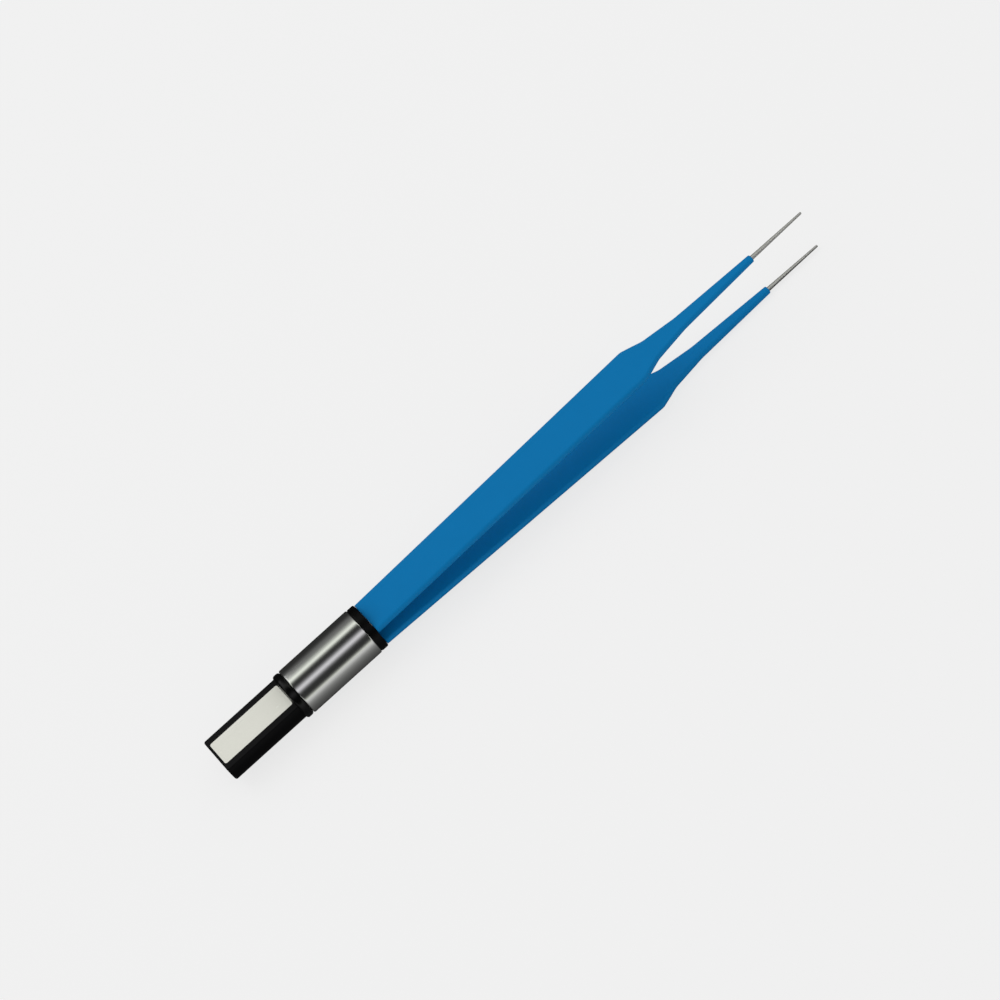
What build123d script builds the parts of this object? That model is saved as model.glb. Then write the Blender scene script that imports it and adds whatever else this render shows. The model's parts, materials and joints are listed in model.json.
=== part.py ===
from build123d import *

import math
import os

# Bipolar forceps, a slim straight pattern with needle tips and a flat two-pole plug.
# The instrument is drawn along +X from the plug's rear end to the tips. Z = 0 is the plane
# midway between the two arms, Y runs across the blades, and all lengths are millimetres.
# It is laid down at the end: resting on the ferrule's rear rim and on the lower arm's shoulder.

# Plug
plug_length = 15.4
plug_diameter = 8.2
plug_across_flats = 3.8
plug_rim_radius = 0.4
plug_edge_radius = 0.15
spigot_depth = 4.0

# Contact strips, one in each flat
contact_inset = 0.5
contact_end_gap = 0.2
contact_width = 4.9
contact_thickness = 0.8
contact_corner = 0.35
tail_width = 3.6
tail_thickness = 0.6
tail_lap = 3.5
joggle_length = 0.6

# Rear collar and front bush
collar_length = 1.45
collar_diameter = 8.95
collar_round = 0.5
ring_length = 1.45
ring_diameter = 8.85
ring_round = 0.25
bush_depth = 5.0

# Ferrule and its lining
ferrule_length = 15.0
ferrule_diameter = 9.0
ferrule_wall = 0.45
ferrule_lip = 0.3
liner_wall = 0.3
resin_thickness = 1.7

# Arms: a spring steel blade in a nylon skin
arm_reach = 98.4
coat_thickness = 0.3
blade_thickness = 0.76
root_width = 6.8
shoulder_width = 7.3
shoulder_at = 60.6
shoulder_foot = 3.8
foot_width = 4.56
waist_at = 71.0
waist_width = 2.74
coat_reach = 87.2
coat_end_width = 1.35
coat_end_thickness = 1.15
shoulder_radius = 1.3
foot_radius = 6.0
leaf_edge_radius = 0.5
skin_end_radius = 0.22
tip_start_width = 0.78
tip_start_thickness = 0.62
tip_end_width = 0.38
tip_end_thickness = 0.34
tip_nose = 0.12
tip_root = 0.5
tip_roundness = 0.4

# Set of the arms, and how far they are pressed together
root_height = 2.1
leaf_slope = 2.43
knee_at = 63.0
nose_slope = 0.75
root_bend_radius = 25.0
knee_bend_radius = 120.0
closing_angle = 2.9

# Tang inside the ferrule
tang_width = 4.2
tang_length = 8.6
tang_corner = 0.6

# Fits and gaps
seat = 0.02
lap_gap = 0.12
slot_gap = 0.12
mouth_gap = 0.12

# Stations along the instrument, worked out from the sizes above
ferrule_start = plug_length + collar_length
ferrule_end = ferrule_start + ferrule_length
mouth = ferrule_end + ring_length
coat_end = mouth + coat_reach
tang_end = ferrule_end - tang_length
hinge_x = ferrule_end + ring_length / 2
bore_radius = ferrule_diameter / 2 - ferrule_wall
liner_radius = bore_radius - liner_wall
flat_height = plug_across_flats / 2
tang_inner = root_height - blade_thickness / 2
tail_outer = tang_inner - lap_gap
tail_inner = tail_outer - tail_thickness
tail_end = tang_end + tail_lap
spigot_end = ferrule_start + spigot_depth
bush_start = ferrule_end - bush_depth


def tube(start, end, outer, inner=0.0):
    """A round bar or tube along X."""
    bar = Plane.YZ.offset(start) * Circle(outer)
    if inner:
        bar -= Plane.YZ.offset(start) * Circle(inner)
    return extrude(bar, end - start)


def turned(start, end, outer, inner, lip, chords=3):
    """A ring along X with rounded outer lips, each quarter circle turned as a few chords."""
    bends = [math.radians(90 * i / chords) for i in range(chords + 1)]
    front = [(end - lip + lip * math.sin(a), outer - lip + lip * math.cos(a)) for a in bends]
    rear = [(start + end - x, r) for x, r in reversed(front)]
    profile = Polyline((start, inner), *rear, *front, (end, inner), close=True)
    return revolve(make_face(profile.edges()), Axis.X)


def block(start, end, width, low, high):
    """A rectangular block along X, centred across Y."""
    return Pos((start + end) / 2, 0, (low + high) / 2) * Box(end - start, width, high - low)


def half_outline(points, radii):
    """A plan face from its +Y edge, mirrored across the X axis."""
    edge = FilletPolyline(*points, radius=radii)
    other = mirror(edge, about=Plane.XZ)
    ends = [Line(e @ t, Vector((e @ t).X, -(e @ t).Y)) for e, t in ((edge, 0), (edge, 1))]
    return make_face([*edge.edges(), *other.edges(), *ends])


def side_face(stations, radii, grow=0.0):
    """A side face in XZ around a bent middle line, from (x, height, thickness) stations."""
    above = [(x, z + t / 2 + grow) for x, z, t in stations]
    below = [(x, z - t / 2 - grow) for x, z, t in stations]
    edges = []
    for line in (above, below):
        edges += FilletPolyline(*line, radius=radii).edges()
    edges += [Line(above[0], below[0]), Line(above[-1], below[-1])]
    return Plane.XZ * make_face(edges)


def profiled(plan, side):
    """The solid that shows one outline from above and the other from the side."""
    return extrude(plan, ferrule_diameter, both=True) & extrude(side, ferrule_diameter, both=True)


def make_ferrule():
    """The polished steel tube that holds plug and arms together."""
    return turned(ferrule_start, ferrule_end, ferrule_diameter / 2, bore_radius, ferrule_lip)


def strip_solid(clearance=0.0):
    """The upper contact strip, flush in its flat and joggled down to lap under the tang.

    With a clearance it is the room for the strip, open through the flat.
    """
    low = flat_height - contact_thickness
    start = contact_inset - clearance
    step = plug_length - contact_end_gap
    top = flat_height + contact_thickness if clearance else flat_height
    side = Polyline(
        (start, low - clearance),
        (step - joggle_length, low - clearance),
        (step, tail_inner - clearance),
        (tail_end, tail_inner - clearance),
        (tail_end, tail_outer + clearance),
        (step + joggle_length, tail_outer + clearance),
        (step + clearance, top),
        (start, top),
        close=True,
    )
    wide = contact_width / 2 + clearance
    slim = tail_width / 2 + clearance
    plate = Pos((start + step + clearance) / 2, 0) * RectangleRounded(
        step + clearance - start, 2 * wide, contact_corner
    )
    tail = Rectangle(tail_end - step + wide, 2 * slim, align=(Align.MIN, Align.CENTER))
    return profiled(plate + Pos(step - wide, 0) * tail, Plane.XZ * make_face(side.edges()))


def make_plug():
    """The moulded plug: a bar with two flats, a recess in each, and a spigot for the ferrule."""
    bar = tube(0, plug_length, plug_diameter / 2)
    bar = fillet(bar.edges().sort_by(Axis.X)[0], plug_rim_radius)
    bar &= block(0, plug_length, 2 * plug_diameter, -flat_height, flat_height)
    long_edges = bar.edges().filter_by(Axis.X)
    bar = fillet(long_edges, plug_edge_radius)
    bar += tube(plug_length, spigot_end, liner_radius - seat)
    recess = strip_solid(seat)
    return bar - recess - mirror(recess, about=Plane.XY)


def make_collar():
    """A seal ring with a rounded bead, on the spigot between plug and ferrule."""
    return turned(plug_length, ferrule_start, collar_diameter / 2, liner_radius, collar_round, chords=4)


def make_liner():
    """The insulating lining of the ferrule, from the collar to the front bush."""
    return tube(ferrule_start, bush_start, bore_radius - seat, liner_radius)


def tang_slot():
    """Room for the upper tang: close at the mouth, opening outwards to the rear."""
    flare = math.tan(math.radians(closing_angle)) * (hinge_x - bush_start)
    top = root_height + blade_thickness / 2 + slot_gap
    bottom = tang_inner - slot_gap
    rear = bush_start - seat
    side = Polyline(
        (rear, bottom), (mouth + seat, bottom), (mouth + seat, top), (hinge_x, top), (rear, top + flare),
        close=True,
    )
    return extrude(Plane.XZ * make_face(side.edges()), tang_width / 2 + slot_gap, both=True)


def make_bush():
    """The front ring, one moulding with the spigot that holds both tangs apart."""
    core = bore_radius - seat
    flange = turned(ferrule_end, mouth, ring_diameter / 2, liner_radius, ring_round)
    bush = flange + tube(bush_start, mouth, core)
    slot = tang_slot()
    return bush - slot - mirror(slot, about=Plane.XY)


def make_spacer():
    """The insulating plate that keeps the two contact tails apart."""
    start = spigot_end + resin_thickness
    plate = block(start, bush_start, 2 * liner_radius, seat - tail_inner, tail_inner - seat)
    return plate & tube(start, bush_start, liner_radius - seat)


def make_resin(strips):
    """The cured resin seal behind the tangs, with the two tails running through it."""
    disc = tube(spigot_end, spigot_end + resin_thickness, liner_radius - seat)
    for strip in strips:
        disc -= strip
    return disc


def middle_height(reach):
    """Height of an arm's middle surface, at a distance from the mouth."""
    leaf = root_height + min(reach, knee_at) * math.tan(math.radians(leaf_slope))
    return leaf + max(reach - knee_at, 0) * math.tan(math.radians(nose_slope))


def arm_stations(end):
    """Middle line of the blade and its thickness: tang, leaf, knee, and a chosen end."""
    nose = coat_end_thickness - 2 * coat_thickness
    share = (end - knee_at) / (coat_reach - knee_at)
    return [
        (tang_end, root_height, blade_thickness),
        (mouth, root_height, blade_thickness),
        (mouth + knee_at, middle_height(knee_at), blade_thickness),
        (mouth + end, middle_height(end), blade_thickness + share * (nose - blade_thickness)),
    ]


def leaf_plan(inset=0.0):
    """Outline of the skin seen from above, or of the steel inside it."""
    points = [
        (mouth + mouth_gap + inset, root_width / 2 - inset),
        (mouth + shoulder_at, shoulder_width / 2 - inset),
        (mouth + shoulder_at + shoulder_foot, foot_width / 2 - inset),
        (mouth + waist_at, waist_width / 2 - inset),
        (coat_end, coat_end_width / 2 - inset),
    ]
    return half_outline(points, [shoulder_radius, foot_radius, 0])


def tip_solid():
    """The bare needle tip, a tapered bar with a rounded nose, rooted inside the coating."""
    sections = []
    for reach, width, thickness in (
        (coat_reach - tip_root, tip_start_width, tip_start_thickness),
        (arm_reach, tip_end_width, tip_end_thickness),
    ):
        plane = Plane((mouth + reach, 0, middle_height(reach)), x_dir=(0, 1, 0), z_dir=(1, 0, 0))
        sections.append(plane * RectangleRounded(width, thickness, tip_roundness * thickness))
    needle = loft(sections)
    nose = needle.faces().sort_by(Axis.X)[-1].edges()
    return fillet(nose, tip_nose)


def make_blade():
    """Upper blade: tang, leaf and needle tip in one piece of spring steel."""
    plan = leaf_plan(coat_thickness)
    tang = Rectangle(mouth + tang_width - tang_end, tang_width, align=(Align.MIN, Align.CENTER))
    plan += Pos(tang_end, 0) * tang
    corners = plan.vertices().sort_by(Axis.X)[:2]
    plan = fillet(corners, tang_corner)
    steel = profiled(plan, side_face(arm_stations(coat_reach), [root_bend_radius, knee_bend_radius]))
    return steel + tip_solid()


def make_skin(blade):
    """Upper nylon skin: rounded edges, closed round the leaf's rear end, a lip at the front."""
    side = side_face(arm_stations(coat_reach), [root_bend_radius, knee_bend_radius], coat_thickness)
    body = profiled(leaf_plan(), side)
    edges = body.edges()
    body = fillet(edges - edges.filter_by(Axis.Y) - edges.filter_by(Axis.Z), leaf_edge_radius)
    body = fillet(body.faces().sort_by(Axis.X)[-1].edges(), skin_end_radius)
    body = chamfer(body.faces().sort_by(Axis.X)[0].edges(), skin_end_radius)
    return body - blade


def laid_down(pieces):
    """Pitch the instrument onto its two resting places and bring it over the origin."""
    drop = middle_height(knee_at) + blade_thickness / 2 + coat_thickness - ferrule_diameter / 2
    run = mouth + knee_at - ferrule_start
    pitch = Rot(0, -math.degrees(math.atan2(drop, run)), 0)
    box = Compound([pitch * piece for piece in pieces.values()]).bounding_box()
    shift = Pos(-(box.min.X + box.max.X) / 2, -(box.min.Y + box.max.Y) / 2, -box.min.Z)
    return shift * pitch


def make_pieces():
    """Every piece by its node name, with the upper arm and strip mirrored for the lower ones."""
    pieces = {"ferrule": make_ferrule(), "plug_body": make_plug(), "rear_collar": make_collar()}
    pieces["liner_sleeve"] = make_liner()
    pieces["front_bush"] = make_bush()
    pieces["tang_spacer"] = make_spacer()
    strip = strip_solid()
    blade = make_blade()
    skin = make_skin(blade)
    for side, turn in (("upper", None), ("lower", Plane.XY)):
        for name, piece in (("contact_strip", strip), ("blade", blade), ("arm_skin", skin)):
            pieces[f"{name}_{side}"] = mirror(piece, about=turn) if turn else piece
    strips = [pieces["contact_strip_upper"], pieces["contact_strip_lower"]]
    pieces["resin_seal"] = make_resin(strips)
    return pieces


pieces = make_pieces()
placement = laid_down(pieces)
os.makedirs("parts", exist_ok=True)
for name, piece in pieces.items():
    export_step(placement * piece, f"parts/{name}.step")
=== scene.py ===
"""Straight bipolar forceps: surfaces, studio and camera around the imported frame."""

import json
import logging
import math
from dataclasses import dataclass
from enum import Enum

import bmesh
import bpy
from mathutils import Matrix, Vector


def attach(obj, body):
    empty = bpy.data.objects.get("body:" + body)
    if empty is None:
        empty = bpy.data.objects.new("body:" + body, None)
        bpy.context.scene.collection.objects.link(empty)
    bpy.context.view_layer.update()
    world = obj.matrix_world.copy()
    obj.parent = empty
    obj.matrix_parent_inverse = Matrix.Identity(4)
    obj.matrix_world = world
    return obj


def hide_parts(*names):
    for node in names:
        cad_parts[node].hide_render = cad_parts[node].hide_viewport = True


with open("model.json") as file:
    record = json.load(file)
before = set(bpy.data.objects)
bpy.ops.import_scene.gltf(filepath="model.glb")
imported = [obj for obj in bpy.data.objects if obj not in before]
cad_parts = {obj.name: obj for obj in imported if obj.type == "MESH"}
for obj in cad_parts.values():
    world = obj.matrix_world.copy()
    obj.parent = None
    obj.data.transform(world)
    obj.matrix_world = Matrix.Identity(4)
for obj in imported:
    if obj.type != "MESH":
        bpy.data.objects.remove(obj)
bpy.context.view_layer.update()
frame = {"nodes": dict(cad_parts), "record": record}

LOG = logging.getLogger("forceps")
MM = 0.001
WELD_DISTANCE = 0.0005 * MM
NOISE_DETAIL = 3.0

# Socket positions of a Mix node that mixes colours.
MIX_SHARE = 0
MIX_FIRST = 6
MIX_SECOND = 7
MIX_RESULT = 2

Colour = tuple[float, float, float]


def srgb(*display: int) -> Colour:
    """Turn a colour written as 0 to 255 display values into linear light.

    Args:
        display: Display red, green and blue.

    Returns:
        The linear colour.
    """
    shares = [value / 255 for value in display]
    return tuple(s / 12.92 if s <= 0.04045 else ((s + 0.055) / 1.055) ** 2.4 for s in shares)


class Signal:
    """An output socket that takes part in arithmetic by adding Math nodes."""

    def __init__(self, graph: "Graph", socket: bpy.types.NodeSocket) -> None:
        """Keep the socket and the graph that it belongs to."""
        self.graph = graph
        self.socket = socket

    def out(self, name: str) -> "Signal":
        """Another output of the same node, by name."""
        return Signal(self.graph, self.socket.node.outputs[name])

    def call(self, operation: str, *others: "Signal | float") -> "Signal":
        """A Math node with this signal first."""
        return self.graph.maths(operation, self, *others)

    def __add__(self, other: "Signal | float") -> "Signal":
        """Sum."""
        return self.graph.maths("ADD", self, other)

    def __sub__(self, other: "Signal | float") -> "Signal":
        """Difference."""
        return self.graph.maths("SUBTRACT", self, other)

    def __rsub__(self, other: "Signal | float") -> "Signal":
        """Difference, with this signal second."""
        return self.graph.maths("SUBTRACT", other, self)

    def __mul__(self, other: "Signal | float") -> "Signal":
        """Product."""
        return self.graph.maths("MULTIPLY", self, other)

    def __truediv__(self, other: "Signal | float") -> "Signal":
        """Quotient."""
        return self.graph.maths("DIVIDE", self, other)

    def __rtruediv__(self, other: "Signal | float") -> "Signal":
        """Quotient, with this signal second."""
        return self.graph.maths("DIVIDE", other, self)


class Graph:
    """Adds nodes to a shader tree or a geometry tree."""

    def __init__(self, tree: bpy.types.NodeTree) -> None:
        """Keep the tree that nodes are added to."""
        self.tree = tree

    def add(
        self, kind: str, settings: dict | None = None, inputs: dict | None = None, output: int = 0
    ) -> Signal | None:
        """Add one node.

        Args:
            kind: The node's type name.
            settings: Properties, set before the sockets.
            inputs: Values or signals, by socket name or position.
            output: The position of the output to hand back.

        Returns:
            That output, or None from a node that has no outputs.
        """
        node = self.tree.nodes.new(kind)
        for name, value in (settings or {}).items():
            setattr(node, name, value)
        for key, value in (inputs or {}).items():
            if isinstance(value, Signal):
                self.tree.links.new(value.socket, node.inputs[key])
            else:
                node.inputs[key].default_value = value
        return Signal(self, node.outputs[output]) if node.outputs else None

    def maths(self, operation: str, *values: Signal | float) -> Signal:
        """A Math node on these values, in order."""
        return self.add("ShaderNodeMath", {"operation": operation}, dict(enumerate(values)))

    def mixed(self, share: Signal, first: Colour, second: Colour) -> Signal:
        """A colour between two others."""
        ends = {MIX_SHARE: share, MIX_FIRST: (*first, 1), MIX_SECOND: (*second, 1)}
        return self.add("ShaderNodeMix", {"data_type": "RGBA"}, ends, output=MIX_RESULT)


def empty_material(name: str) -> tuple[bpy.types.Material, Graph]:
    """A new material with nothing in its tree.

    Args:
        name: The material's name.

    Returns:
        The material and the graph of its tree.
    """
    made = bpy.data.materials.new(name)
    made.use_nodes = True
    made.node_tree.nodes.clear()
    return made, Graph(made.node_tree)


@dataclass(frozen=True)
class Finish:
    """A surface finish, with grain that can run in one direction.

    Grain is in cycles a metre, stretch multiplies it along each axis, and relief is in metres.
    """

    name: str
    colour: Colour
    roughness: float
    metallic: float = 0.0
    specular: float = 0.5
    grain: float = 2000.0
    stretch: tuple[float, float, float] = (1.0, 1.0, 1.0)
    tone: float = 0.05
    uneven: float = 0.05
    relief: float = 0.000002
    cloud: float = 0.12

    def material(self) -> bpy.types.Material:
        """Build the finish once, and hand out the same material afterwards.

        Returns:
            The material.
        """
        known = bpy.data.materials.get(self.name)
        if known:
            return known
        made, graph = empty_material(self.name)
        fine = self.noise(graph, self.grain)
        coarse = self.noise(graph, self.grain * self.cloud)
        wander = (fine * 0.5 + coarse * 0.5 - 0.5) * (2 * self.uneven)
        shader = graph.add("ShaderNodeBsdfPrincipled", None, {
            "Base Color": self.tinted(graph, coarse),
            "Roughness": wander + self.roughness,
            "Metallic": self.metallic,
            "Specular IOR Level": self.specular,
            "Normal": graph.add("ShaderNodeBump", None, {"Distance": self.relief, "Height": fine}),
        })
        graph.add("ShaderNodeOutputMaterial", None, {"Surface": shader})
        return made

    def noise(self, graph: Graph, scale: float) -> Signal:
        """Noise on the object's own coordinates, stretched along the grain.

        Args:
            graph: The material's graph.
            scale: Cycles a metre.

        Returns:
            The noise, from 0 to 1.
        """
        where = graph.add("ShaderNodeTexCoord").out("Object")
        laid = graph.add("ShaderNodeMapping", None, {"Vector": where, "Scale": self.stretch})
        return graph.add("ShaderNodeTexNoise", None, {
            "Vector": laid,
            "Scale": scale,
            "Detail": NOISE_DETAIL,
        })

    def tinted(self, graph: Graph, share: Signal) -> Signal:
        """The finish's colour, a little darker and lighter from place to place.

        Args:
            graph: The material's graph.
            share: 0 for the darkest colour, 1 for the lightest.

        Returns:
            The colour.
        """
        dark = tuple(channel * (1 - self.tone) for channel in self.colour)
        light = tuple(min(channel * (1 + self.tone), 1.0) for channel in self.colour)
        return graph.mixed(share, dark, light)


# How grain is stretched: lines along the instrument, and lines around it.
ALONG = (0.06, 1.0, 1.0)
AROUND = (6.0, 0.5, 0.5)
POLISHED_STEEL = Finish("polished_steel_turned", (0.97, 0.98, 0.95), 0.14, metallic=1.0, grain=1500.0,
                        stretch=AROUND, tone=0.02, uneven=0.03, relief=0.0000004)
NEEDLE_STEEL = Finish("needle_steel_ground", (0.96, 0.95, 0.92), 0.36, metallic=1.0, grain=6000.0,
                      stretch=ALONG, tone=0.02, uneven=0.02, relief=0.0000001)
CONTACT_METAL = Finish("contact_metal_satin", (0.69, 0.69, 0.625), 0.26, metallic=0.5, grain=5000.0,
                       stretch=ALONG, tone=0.03, uneven=0.05, relief=0.0000008)
BLUE_NYLON = Finish("blue_nylon_dipped", srgb(3, 112, 171), 0.4, specular=0.06, grain=2600.0,
                    tone=0.03, uneven=0.06, relief=0.000006)
BLACK_MOULDING = Finish("black_moulding", srgb(4, 4, 5), 0.34, specular=0.12, grain=4000.0, tone=0.15,
                        uneven=0.06, relief=0.000003)
BLACK_RING = Finish("black_ring_moulding", srgb(4, 4, 4), 0.36, specular=0.16, grain=4000.0, tone=0.15,
                    uneven=0.06, relief=0.000003)
SEAL_RUBBER = Finish("seal_rubber_smooth", srgb(4, 4, 4), 0.18, specular=0.3, grain=3000.0, tone=0.1,
                     uneven=0.05, relief=0.000002)
LINER_PLASTIC = Finish("liner_plastic_natural", (0.72, 0.69, 0.6), 0.5)
SEALING_RESIN = Finish("sealing_resin_amber", (0.35, 0.19, 0.06), 0.2, tone=0.2)


class ArmSide(Enum):
    """The two arms, and which way each lies from the middle plane."""

    UPPER = 1
    LOWER = -1

    @property
    def word(self) -> str:
        """The word used in node, body and piece names."""
        return self.name.lower()


def instrument_place() -> Matrix:
    """Where the instrument's own millimetre axes lie: origin at the plug's rear end, X to the tips.

    Returns:
        The matrix from those axes to the frame.
    """
    plug = next(mount for mount in frame["record"]["mounts"] if mount["name"] == "plug")
    along = -Vector(plug["axis"]).normalized()
    across = Vector((0, 1, 0))
    turn = Matrix((along, across, along.cross(across))).transposed().to_4x4()
    return Matrix.Translation(Vector(plug["pos_m"])) @ turn @ Matrix.Scale(MM, 4)


PLACE = instrument_place()


def evaluated_mesh(holder: bpy.types.Object) -> bpy.types.Mesh:
    """The mesh of an object after its modifiers, kept while the object goes.

    Args:
        holder: The object, which is removed.

    Returns:
        The plain mesh.
    """
    depsgraph = bpy.context.evaluated_depsgraph_get()
    made = bpy.data.meshes.new_from_object(holder.evaluated_get(depsgraph))
    bpy.data.objects.remove(holder)
    return made


def linked_object(name: str, mesh: bpy.types.Mesh) -> bpy.types.Object:
    """A new object in the scene.

    Args:
        name: Its name.
        mesh: Its mesh.

    Returns:
        The object.
    """
    made = bpy.data.objects.new(name, mesh)
    bpy.context.scene.collection.objects.link(made)
    return made


def closed_and_smooth(mesh: bpy.types.Mesh) -> bpy.types.Mesh:
    """Weld a mesh's seams, point its faces outwards, and keep its flats flat under smooth shading.

    Args:
        mesh: The mesh, in metres.

    Returns:
        The finished mesh.
    """
    shape = bmesh.new()
    shape.from_mesh(mesh)
    bmesh.ops.remove_doubles(shape, verts=shape.verts, dist=WELD_DISTANCE)
    bmesh.ops.recalc_face_normals(shape, faces=shape.faces)
    shape.to_mesh(mesh)
    shape.free()
    mesh.shade_smooth()
    holder = linked_object("holder", mesh)
    holder.modifiers.new("flats", "WEIGHTED_NORMAL")
    return evaluated_mesh(holder)


def stand_in(name: str, mesh: bpy.types.Mesh, body: str, node: str) -> bpy.types.Object:
    """Set a finished mesh into the frame as the piece that stands for one node.

    Args:
        name: The piece's name.
        mesh: The mesh, in the frame's metres.
        body: The body that it moves with.
        node: The node that it stands for.

    Returns:
        The piece.
    """
    piece = linked_object(name, closed_and_smooth(mesh))
    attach(piece, body)
    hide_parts(node)
    LOG.info("%s: %d faces, moves with %s", name, len(piece.data.polygons), body)
    return piece


def dress(node: str, finish: Finish) -> None:
    """Give a node that keeps its own shape a better material.

    Args:
        node: The node's name.
        finish: Its finish.
    """
    for held in frame["nodes"][node].material_slots:
        held.material = finish.material()
    LOG.info("%s: its own shape, %s", node, finish.name)


class SizedTree:
    """A geometry tree with named inputs, run once to make a plain mesh."""

    def __init__(self, name: str, sizes: dict[str, float], counts: dict[str, int]) -> None:
        """Make the tree and its inputs.

        Args:
            name: The tree's name.
            sizes: Lengths in millimetres and other numbers, by input name.
            counts: Whole numbers, by input name.
        """
        self.tree = bpy.data.node_groups.new(name, "GeometryNodeTree")
        self.values = {**sizes, **counts}
        face = self.tree.interface
        for label in sizes:
            face.new_socket(label, in_out="INPUT", socket_type="NodeSocketFloat")
        for label in counts:
            face.new_socket(label, in_out="INPUT", socket_type="NodeSocketInt")
        face.new_socket("Material", in_out="INPUT", socket_type="NodeSocketMaterial")
        face.new_socket("Geometry", in_out="OUTPUT", socket_type="NodeSocketGeometry")
        self.graph = Graph(self.tree)
        self.entry = self.graph.add("NodeGroupInput")

    def __getitem__(self, label: str) -> Signal:
        """One of the named inputs."""
        return self.entry.out(label)

    def close(self, geometry: Signal) -> None:
        """End the tree with real, dressed geometry.

        Args:
            geometry: The shape that the tree has made.
        """
        real = self.graph.add("GeometryNodeRealizeInstances", None, {"Geometry": geometry})
        dressed = self.graph.add("GeometryNodeSetMaterial", None, {
            "Geometry": real,
            "Material": self["Material"],
        })
        self.graph.add("NodeGroupOutput", None, {"Geometry": dressed})

    def mesh(self, finish: Finish) -> bpy.types.Mesh:
        """Run the tree, and lay the result into the frame.

        Args:
            finish: What the mesh is made of.

        Returns:
            The mesh, in the frame's metres.
        """
        holder = linked_object("holder", bpy.data.meshes.new("holder"))
        step = holder.modifiers.new("shape", "NODES")
        step.node_group = self.tree
        values = {**self.values, "Material": finish.material()}
        for item in self.tree.interface.items_tree:
            if item.in_out == "INPUT":
                step[item.identifier] = values[item.name]
        made = evaluated_mesh(holder)
        made.transform(PLACE)
        return made


def rounded_section(
    turn: Signal, half_wide: Signal, half_high: Signal, radius: Signal
) -> tuple[Signal, Signal]:
    """A point on a rectangle with round corners.

    Args:
        turn: The point's angle, in radians.
        half_wide: Half the width.
        half_high: Half the height.
        radius: The corner radius.

    Returns:
        The point's two coordinates.
    """
    across, up = turn.call("COSINE"), turn.call("SINE")
    return (
        across.call("SIGN") * (half_wide - radius) + across * radius,
        up.call("SIGN") * (half_high - radius) + up * radius,
    )


@dataclass
class TurnedRing:
    """A ring turned about the instrument's axis, with rounded outer lips. Sizes are in millimetres."""

    name: str
    node: str
    slot: str
    finish: Finish
    start: float
    end: float
    radius: float
    bore: float
    lip: float
    edge: float = 0.04
    around: int = 256
    profile: int = 64

    def tree(self) -> SizedTree:
        """The rule: a rounded section carried once round the axis.

        Returns:
            The tree, ready to run.
        """
        sizes = {"Start": self.start, "End": self.end, "Radius": self.radius, "Bore": self.bore,
                 "Lip": self.lip, "Edge": self.edge}
        sized = SizedTree(self.name, sizes, {"Around": self.around, "Profile": self.profile})
        graph = sized.graph
        sheet = graph.add("GeometryNodeMeshGrid", None, {
            "Size X": 1.0,
            "Size Y": 1.0,
            "Vertices X": sized["Around"] + 1,
            "Vertices Y": sized["Profile"] + 1,
        })
        spot = graph.add("ShaderNodeSeparateXYZ", None, {0: graph.add("GeometryNodeInputPosition")})
        spin = (spot + 0.5) * math.tau
        turn = (spot.out("Y") + 0.5 + 0.5 / sized["Profile"]) * math.tau
        outer = turn.call("SINE").call("GREATER_THAN", 0.0)
        radius = sized["Edge"] + outer * (sized["Lip"] - sized["Edge"])
        half_long = (sized["End"] - sized["Start"]) / 2
        half_deep = (sized["Radius"] - sized["Bore"]) / 2
        along, out = rounded_section(turn, half_long, half_deep, radius)
        reach = out + (sized["Radius"] + sized["Bore"]) / 2
        point = graph.add("ShaderNodeCombineXYZ", None, {
            0: along + (sized["End"] + sized["Start"]) / 2,
            1: reach * spin.call("COSINE"),
            2: reach * spin.call("SINE"),
        })
        sized.close(graph.add("GeometryNodeSetPosition", None, {"Geometry": sheet, "Position": point}))
        return sized

    def build(self) -> bpy.types.Object:
        """Make the ring and set it on the handle."""
        return stand_in(self.name, self.tree().mesh(self.finish), "handle", self.node)


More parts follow.
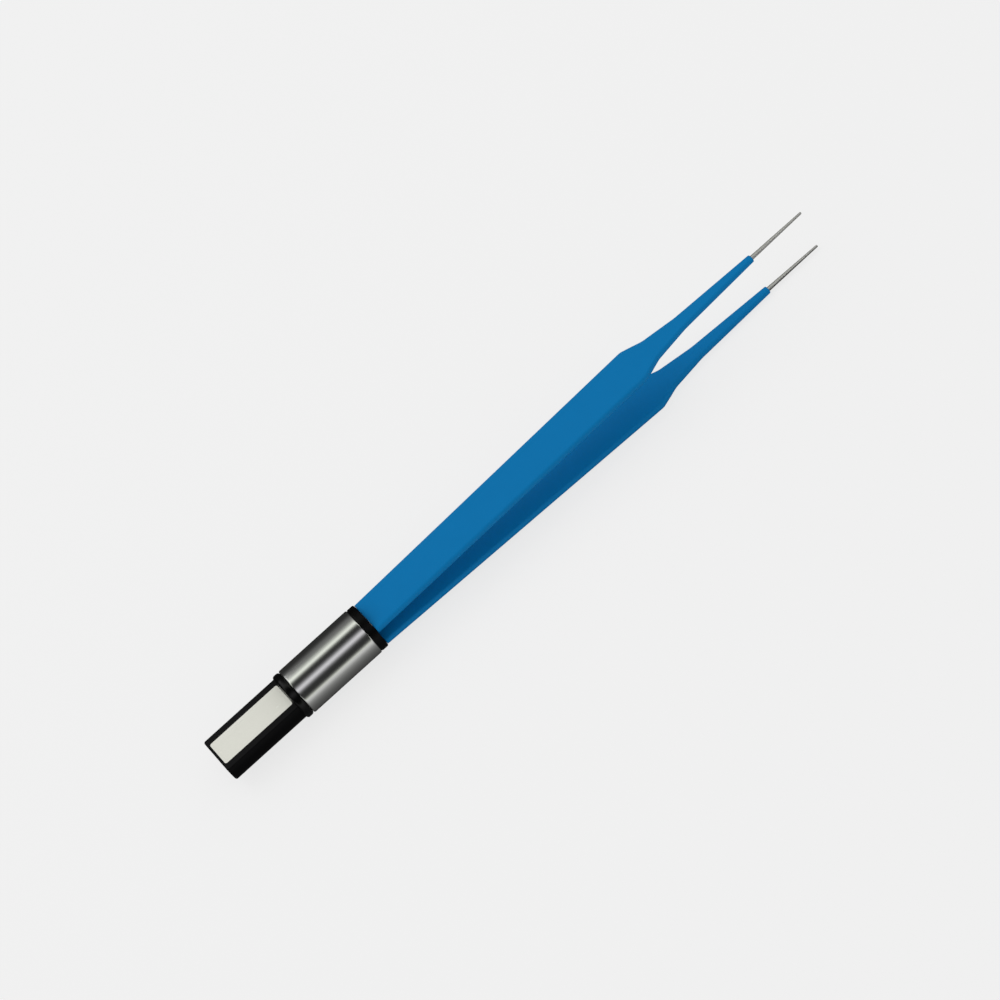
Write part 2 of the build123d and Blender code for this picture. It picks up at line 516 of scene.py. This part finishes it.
@dataclass
class NylonSkin:
    """The dipped coating of one arm: a rounded section that follows the arm. Sizes are in millimetres.

    Stations are distances from the plug's rear end, and slopes are heights gained a millimetre.
    """

    start: float = 33.37
    end: float = 120.5
    mouth: float = 33.3
    root_height: float = 2.1
    knee: float = 96.3
    leaf_slope: float = math.tan(math.radians(2.43))
    nose_slope: float = math.tan(math.radians(0.75))
    root_width: float = 6.8
    shoulder: float = 93.9
    shoulder_width: float = 7.3
    foot: float = 97.7
    foot_width: float = 4.56
    waist: float = 104.3
    waist_width: float = 2.74
    end_width: float = 1.35
    thickness: float = 1.36
    end_thickness: float = 1.15
    edge: float = 0.5
    lip: float = 0.22
    rear_lip: float = 0.1
    least_edge: float = 0.05
    knee_blend: float = 0.05
    shoulder_blend: float = 0.4
    foot_blend: float = 0.3
    waist_blend: float = 0.15
    gathering: float = 0.97
    around: int = 48
    along: int = 420

    def tree(self, side: ArmSide) -> SizedTree:
        """The rule: width, thickness and middle height are each a function of the distance.

        Args:
            side: Which arm.

        Returns:
            The tree, ready to run.
        """
        sizes = {
            "Start": self.start, "End": self.end, "Mouth": self.mouth, "Root Height": self.root_height,
            "Knee": self.knee, "Leaf Slope": self.leaf_slope, "Nose Slope": self.nose_slope,
            "Root Width": self.root_width, "Shoulder": self.shoulder, "Shoulder Width": self.shoulder_width,
            "Foot": self.foot, "Foot Width": self.foot_width, "Waist": self.waist,
            "Waist Width": self.waist_width, "End Width": self.end_width, "Thickness": self.thickness,
            "End Thickness": self.end_thickness, "Edge": self.edge, "Lip": self.lip,
            "Rear Lip": self.rear_lip, "Least Edge": self.least_edge, "Side": side.value,
        }
        counts = {"Around": self.around, "Along": self.along}
        sized = SizedTree(f"nylon_skin_{side.word}", sizes, counts)
        graph = sized.graph
        bar = graph.add("GeometryNodeMeshCylinder", {"fill_type": "NGON"}, {
            "Vertices": sized["Around"], "Side Segments": sized["Along"], "Radius": 1.0, "Depth": 1.0,
        })
        spot = graph.add("ShaderNodeSeparateXYZ", None, {0: graph.add("GeometryNodeInputPosition")})
        share = spot.out("Z") + 0.5
        gathered = share - (share * math.tau).call("SINE") * (self.gathering / math.tau)
        x = sized["Start"] + gathered * (sized["End"] - sized["Start"])
        inset = self.end_inset(x, sized)
        turn = spot.out("Y").call("ARCTAN2", spot) + math.pi / sized["Around"]
        radius = (sized["Edge"] - inset).call("MAXIMUM", sized["Least Edge"])
        across, up = rounded_section(
            turn, self.half_width(x, sized) - inset, self.half_thickness(x, sized) - inset, radius
        )
        point = graph.add("ShaderNodeCombineXYZ", None, {
            0: x, 1: across, 2: (self.middle(x, sized) + up) * sized["Side"],
        })
        sized.close(graph.add("GeometryNodeSetPosition", None, {"Geometry": bar, "Position": point}))
        return sized

    @staticmethod
    def line(x: Signal, start: tuple[Signal, Signal], end: tuple[Signal, Signal]) -> Signal:
        """The straight line through two points, taken at x."""
        return (x - start[0]) / (end[0] - start[0]) * (end[1] - start[1]) + start[1]

    def half_width(self, x: Signal, sized: SizedTree) -> Signal:
        """Half width: a leaf that widens a little, a shoulder, and a long taper.

        Args:
            x: The distance from the plug's rear end.
            sized: The tree with the sizes.

        Returns:
            The half width there.
        """
        names = (("Start", "Root Width"), ("Shoulder", "Shoulder Width"), ("Foot", "Foot Width"),
                 ("Waist", "Waist Width"), ("End", "End Width"))
        points = [(sized[place], sized[width]) for place, width in names]
        leaf, drop, neck, nose = [self.line(x, *pair) for pair in zip(points, points[1:])]
        taper = drop.call("SMOOTH_MAX", neck, self.foot_blend).call("SMOOTH_MAX", nose, self.waist_blend)
        return leaf.call("SMOOTH_MIN", taper, self.shoulder_blend) * 0.5

    def half_thickness(self, x: Signal, sized: SizedTree) -> Signal:
        """Half thickness: even along the leaf, then thinner to the end.

        Args:
            x: The distance from the plug's rear end.
            sized: The tree with the sizes.

        Returns:
            The half thickness there.
        """
        nose = self.line(x, (sized["Knee"], sized["Thickness"]), (sized["End"], sized["End Thickness"]))
        return sized["Thickness"].call("MINIMUM", nose) * 0.5

    def middle(self, x: Signal, sized: SizedTree) -> Signal:
        """Height of the middle surface over the plane between the arms.

        Args:
            x: The distance from the plug's rear end.
            sized: The tree with the sizes.

        Returns:
            The height there.
        """
        leaf = (x - sized["Mouth"]) * sized["Leaf Slope"] + sized["Root Height"]
        knee_height = (sized["Knee"] - sized["Mouth"]) * sized["Leaf Slope"] + sized["Root Height"]
        nose = (x - sized["Knee"]) * sized["Nose Slope"] + knee_height
        return leaf.call("SMOOTH_MIN", nose, self.knee_blend)

    @staticmethod
    def rounding(near: Signal, lip: Signal) -> Signal:
        """How far the section draws in at a distance from an end, as a quarter circle.

        Args:
            near: The distance from the end.
            lip: The radius of the circle.

        Returns:
            The inset, nothing beyond the lip.
        """
        short = (lip - near.call("MAXIMUM", 0.0)).call("MAXIMUM", 0.0)
        return lip - (lip * lip - short * short).call("MAXIMUM", 0.0).call("SQRT")

    def end_inset(self, x: Signal, sized: SizedTree) -> Signal:
        """How far the section draws in near either end.

        Args:
            x: The distance from the plug's rear end.
            sized: The tree with the sizes.

        Returns:
            The inset there.
        """
        rear = self.rounding(x - sized["Start"], sized["Rear Lip"])
        return rear.call("MAXIMUM", self.rounding(sized["End"] - x, sized["Lip"]))

    def build(self, side: ArmSide) -> bpy.types.Object:
        """Make one arm's skin and set it on its arm.

        Args:
            side: Which arm.

        Returns:
            The piece.
        """
        mesh = self.tree(side).mesh(BLUE_NYLON)
        body = f"arm_{side.word}"
        return stand_in(f"skin_{side.word}", mesh, body, f"arm_skin_{side.word}")


@dataclass
class Handle:
    """The parts that never move: ferrule, seal bead, front ring, plug, contacts and inner parts.

    The ferrule's radius is 0.006 mm under the real one, which keeps its finer mesh inside the facets
    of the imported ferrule. Sizes are in millimetres.
    """

    ferrule_start: float = 16.85
    ferrule_end: float = 31.85
    ferrule_radius: float = 4.494
    ferrule_bore: float = 4.05
    ferrule_lip: float = 0.3
    bead_start: float = 15.4
    bead_radius: float = 4.475
    bead_bore: float = 3.75
    bead_lip: float = 0.5

    def rings(self) -> list[TurnedRing]:
        """The two turned rings that get a finer mesh.

        Returns:
            The ferrule and the seal bead.
        """
        return [
            TurnedRing("ferrule_sleeve", "ferrule", "polished_steel", POLISHED_STEEL, self.ferrule_start,
                       self.ferrule_end, self.ferrule_radius, self.ferrule_bore, self.ferrule_lip),
            TurnedRing("seal_bead", "rear_collar", "seal_rubber", SEAL_RUBBER, self.bead_start,
                       self.ferrule_start, self.bead_radius, self.bead_bore, self.bead_lip),
        ]

    def build(self) -> None:
        """Make the turned rings, and dress the parts that keep their own shape."""
        for ring in self.rings():
            ring.build()
        for node, finish in (("plug_body", BLACK_MOULDING), ("front_bush", BLACK_RING),
                             ("liner_sleeve", LINER_PLASTIC), ("tang_spacer", LINER_PLASTIC),
                             ("resin_seal", SEALING_RESIN), ("contact_strip_upper", CONTACT_METAL),
                             ("contact_strip_lower", CONTACT_METAL)):
            dress(node, finish)


@dataclass
class Arm:
    """One sprung arm: the steel blade with its bare needle tip, and the nylon skin."""

    side: ArmSide

    def build(self) -> None:
        """Dress the blade and make the skin."""
        dress(f"blade_{self.side.word}", NEEDLE_STEEL)
        NylonSkin().build(self.side)


@dataclass(frozen=True)
class Softbox:
    """A soft patch of light on the reflection tent, by its angle from straight up towards +Y."""

    degrees: float
    spread: float
    level: float
    tint: Colour = (1.0, 1.0, 1.0)

    def shader(self, graph: Graph, angle: Signal) -> Signal:
        """The patch's glow, strongest in its middle.

        Args:
            graph: The tent material's graph.
            angle: The angle of the place that is shaded, in radians.

        Returns:
            An emission shader.
        """
        away = (angle - math.radians(self.degrees)) / math.radians(self.spread)
        strength = (away * away * -1).call("EXPONENT") * self.level
        return graph.add("ShaderNodeEmission", None, {"Color": (*self.tint, 1), "Strength": strength})


@dataclass
class Studio:
    """Pale floor, even sky, one broad lamp, and a tent that only reflections see. Sizes are in metres."""

    floor_half: float = 3.0
    pale: float = srgb(241)[0]
    evened: float = 0.85
    sky: float = 0.76
    lamp_power: float = 3.5
    lamp_size: float = 0.9
    lamp_place: tuple[float, float, float] = (-0.3, 0.55, 0.9)
    tent_radius: float = 0.5
    tent_half: float = 1.2
    tent_dark: float = 0.025
    tent_steps: int = 48
    softboxes: tuple[Softbox, ...] = (
        Softbox(17.5, 9, 0.58, (0.97, 1.0, 0.93)),
        Softbox(28, 12, 0.33, (0.97, 1.0, 0.93)),
        Softbox(50, 18, 0.1),
        Softbox(-32.5, 11, 0.6, (0.96, 0.94, 1.0)),
        Softbox(-93, 10, 0.7, (0.98, 1.0, 0.92)),
    )
    # The painted floor that reflections see: its level far off, and the reach and sharpness of the painted
    # shadow close to the object.
    painted_floor_glow: float = 0.5
    painted_shadow_reach: float = 0.026
    painted_shadow_power: float = 1.6
    card_height: float = 0.0001
    contact_card_radius: float = 0.06
    contact_card_degrees: float = 34.0
    contact_card_from: float = -0.078
    contact_card_to: float = -0.0505
    contact_card_half: float = 0.02
    contact_card_level: float = 1.0

    def build(self) -> None:
        """Set the floor, the lights and the reflection tent."""
        self.world()
        self.flat_card("floor", 0.0, self.paper())
        self.lamp()
        self.tent()
        # A card just over the floor that only reflections see: painted floor light, with a painted shadow
        # close to the object.
        mirrored = self.flat_card("painted_floor_in_reflections", self.card_height, self.painted_floor_shade())
        self.reflections_only(mirrored)
        self.contact_card()

    def world(self) -> None:
        """An even sky that lights the object and shows pale to the camera, not in reflections."""
        world = bpy.data.worlds.new("sky")
        bpy.context.scene.world = world
        world.cycles_visibility.glossy = False
        world.use_nodes = True
        world.node_tree.nodes.clear()
        graph = Graph(world.node_tree)
        path = graph.add("ShaderNodeLightPath")
        seen = path.call("MAXIMUM", path.out("Is Glossy Ray"))
        seen = seen.call("MAXIMUM", path.out("Is Transmission Ray"))
        strength = seen * (self.pale - self.sky) + self.sky
        sky = graph.add("ShaderNodeBackground", None, {"Color": (1, 1, 1, 1), "Strength": strength})
        graph.add("ShaderNodeOutputWorld", None, {"Surface": sky})

    def stage_piece(
        self,
        name: str,
        points: list[tuple[float, float, float]],
        faces: list[tuple[int, ...]],
        material: bpy.types.Material,
    ) -> bpy.types.Object:
        """A mesh that belongs to the stage.

        Args:
            name: Its name.
            points: Its points.
            faces: Its faces.
            material: What it is made of.

        Returns:
            The object.
        """
        mesh = bpy.data.meshes.new(name)
        mesh.from_pydata(points, [], faces)
        mesh.materials.append(material)
        made = linked_object(name, mesh)
        return made

    def flat_card(self, name: str, height: float, material: bpy.types.Material) -> bpy.types.Object:
        """A level square as large as the floor.

        Args:
            name: Its name.
            height: Its height over the ground.
            material: What it is made of.

        Returns:
            The square.
        """
        half = self.floor_half
        corners = [(x * half, y * half, height) for x, y in ((-1, -1), (1, -1), (1, 1), (-1, 1))]
        return self.stage_piece(name, corners, [(0, 1, 2, 3)], material)

    @staticmethod
    def reflections_only(card: bpy.types.Object) -> None:
        """Hide a card from everything but reflections.

        Args:
            card: The card.
        """
        card.visible_camera = card.visible_diffuse = card.visible_shadow = False
        card.visible_transmission = card.visible_volume_scatter = False

    def lamp(self) -> None:
        """One broad lamp from above and behind."""
        data = bpy.data.lights.new("broad_lamp", "AREA")
        data.shape, data.size, data.energy = "SQUARE", self.lamp_size, self.lamp_power
        lamp = bpy.data.objects.new("broad_lamp", data)
        bpy.context.scene.collection.objects.link(lamp)
        lamp.location = self.lamp_place
        lamp.rotation_mode = "QUATERNION"
        lamp.rotation_quaternion = (-Vector(self.lamp_place)).to_track_quat("-Z", "Y")
        lamp.visible_glossy = lamp.visible_camera = False

    def tent(self) -> None:
        """An arch over the object, dark with soft patches of light."""
        made, graph = empty_material("tent_glow")
        spot = graph.add("ShaderNodeSeparateXYZ", None, {0: graph.add("ShaderNodeTexCoord").out("Object")})
        angle = spot.out("Y").call("ARCTAN2", spot.out("Z"))
        glow = graph.add("ShaderNodeEmission", None, {"Strength": self.tent_dark})
        for box in self.softboxes:
            glow = graph.add("ShaderNodeAddShader", None, {0: glow, 1: box.shader(graph, angle)})
        graph.add("ShaderNodeOutputMaterial", None, {"Surface": glow})
        steps = self.tent_steps
        angles = [math.pi * (i / steps - 0.5) for i in range(steps + 1)]
        points = [(x, self.tent_radius * math.sin(a), self.tent_radius * math.cos(a))
                  for a in angles for x in (-self.tent_half, self.tent_half)]
        faces = [(2 * i, 2 * i + 1, 2 * i + 3, 2 * i + 2) for i in range(steps)]
        self.reflections_only(self.stage_piece("tent", points, faces, made))

    def paper(self) -> bpy.types.Material:
        """Pale paper with a faint shadow: part of what the camera sees is even light.

        Returns:
            The material.
        """
        made, graph = empty_material("pale_paper")
        lit = graph.add("ShaderNodeBsdfDiffuse", None, {"Color": (self.pale, self.pale, self.pale, 1)})
        even = graph.add("ShaderNodeEmission", None, {"Strength": self.pale})
        path = graph.add("ShaderNodeLightPath")
        seen = path + path.out("Is Glossy Ray") + path.out("Is Transmission Ray")
        share = seen.call("MINIMUM", 1.0) * self.evened
        shader = graph.add("ShaderNodeMixShader", None, {0: share, 1: lit, 2: even})
        graph.add("ShaderNodeOutputMaterial", None, {"Surface": shader})
        return made

    def painted_floor_shade(self) -> bpy.types.Material:
        """The floor as reflections see it, painted: painted floor light on the near side, and a painted
        shadow that darkens it close to the object.

        Returns:
            The material.
        """
        made, graph = empty_material("painted_floor_glow")
        spot = graph.add("ShaderNodeSeparateXYZ", None, {0: graph.add("ShaderNodeTexCoord").out("Object")})
        # Painted shadow: dark close to the object and on its far side, rising to the painted floor glow on
        # the near side.
        near = (spot.out("Y") * -1 / self.painted_shadow_reach).call("MAXIMUM", 0.0)
        risen = 1 - (near.call("POWER", self.painted_shadow_power) * -1).call("EXPONENT")
        strength = risen * self.painted_floor_glow + self.tent_dark
        glow = graph.add("ShaderNodeEmission", None, {"Strength": strength})
        graph.add("ShaderNodeOutputMaterial", None, {"Surface": glow})
        return made

    def contact_card(self) -> None:
        """A small bright card that the flat contact mirrors."""
        angle = math.radians(self.contact_card_degrees)
        out = Vector((0, math.sin(angle), math.cos(angle))) * self.contact_card_radius
        down = Vector((0, math.cos(angle), -math.sin(angle))) * self.contact_card_half
        corners = [tuple(out + Vector((x, 0, 0)) + down * s) for x, s in (
            (self.contact_card_from, -1), (self.contact_card_to, -1),
            (self.contact_card_to, 1), (self.contact_card_from, 1),
        )]
        made, graph = empty_material("contact_glow")
        glow = graph.add("ShaderNodeEmission", None, {"Strength": self.contact_card_level})
        graph.add("ShaderNodeOutputMaterial", None, {"Surface": glow})
        self.reflections_only(self.stage_piece("contact_card", corners, [(0, 1, 2, 3)], made))


@dataclass
class Camera:
    """A long lens that stands over the ferrule and looks at the middle.

    Lengths are in millimetres, and the two clipping distances in metres.
    """

    from_normal: float = 34.3
    roll: float = 42.16
    stand_off: float = 600.0
    stand_along: float = 17.0
    aim_along: float = 62.98
    aim_up: float = 1.031
    lens: float = 131.07
    sensor: float = 36.0
    clip_near: float = 0.01
    clip_far: float = 20.0

    def build(self) -> None:
        """Place the camera."""
        tilt, roll = math.radians(self.from_normal), math.radians(self.roll)
        along = Vector((1, 0, 0))
        over = Vector((0, math.cos(tilt), math.sin(tilt)))
        away = Vector((0, -math.sin(tilt), math.cos(tilt)))
        aim = along * self.aim_along + over * self.aim_up
        eye = along * self.stand_along + over * self.aim_up + away * self.stand_off
        back = (eye - aim).normalized()
        right = (along * math.sin(roll) + over * math.cos(roll)).cross(back).normalized()
        turn = Matrix((right, back.cross(right), back)).transposed().to_4x4()
        data = bpy.data.cameras.new("camera")
        data.lens, data.sensor_width = self.lens, self.sensor
        data.clip_start, data.clip_end = self.clip_near, self.clip_far
        camera = bpy.data.objects.new("camera", data)
        bpy.context.scene.collection.objects.link(camera)
        placed = PLACE @ Matrix.Translation(eye) @ turn
        camera.matrix_world = Matrix.LocRotScale(placed.to_translation(), placed.to_quaternion(), None)
        bpy.context.scene.camera = camera


def main() -> None:
    """Build the forceps, the studio and the camera."""
    logging.basicConfig(level=logging.INFO, format="%(name)s: %(message)s")
    bpy.context.scene.view_settings.view_transform = "Standard"
    Handle().build()
    for side in ArmSide:
        Arm(side).build()
    Studio().build()
    Camera().build()


if __name__ == "__main__":
    main()
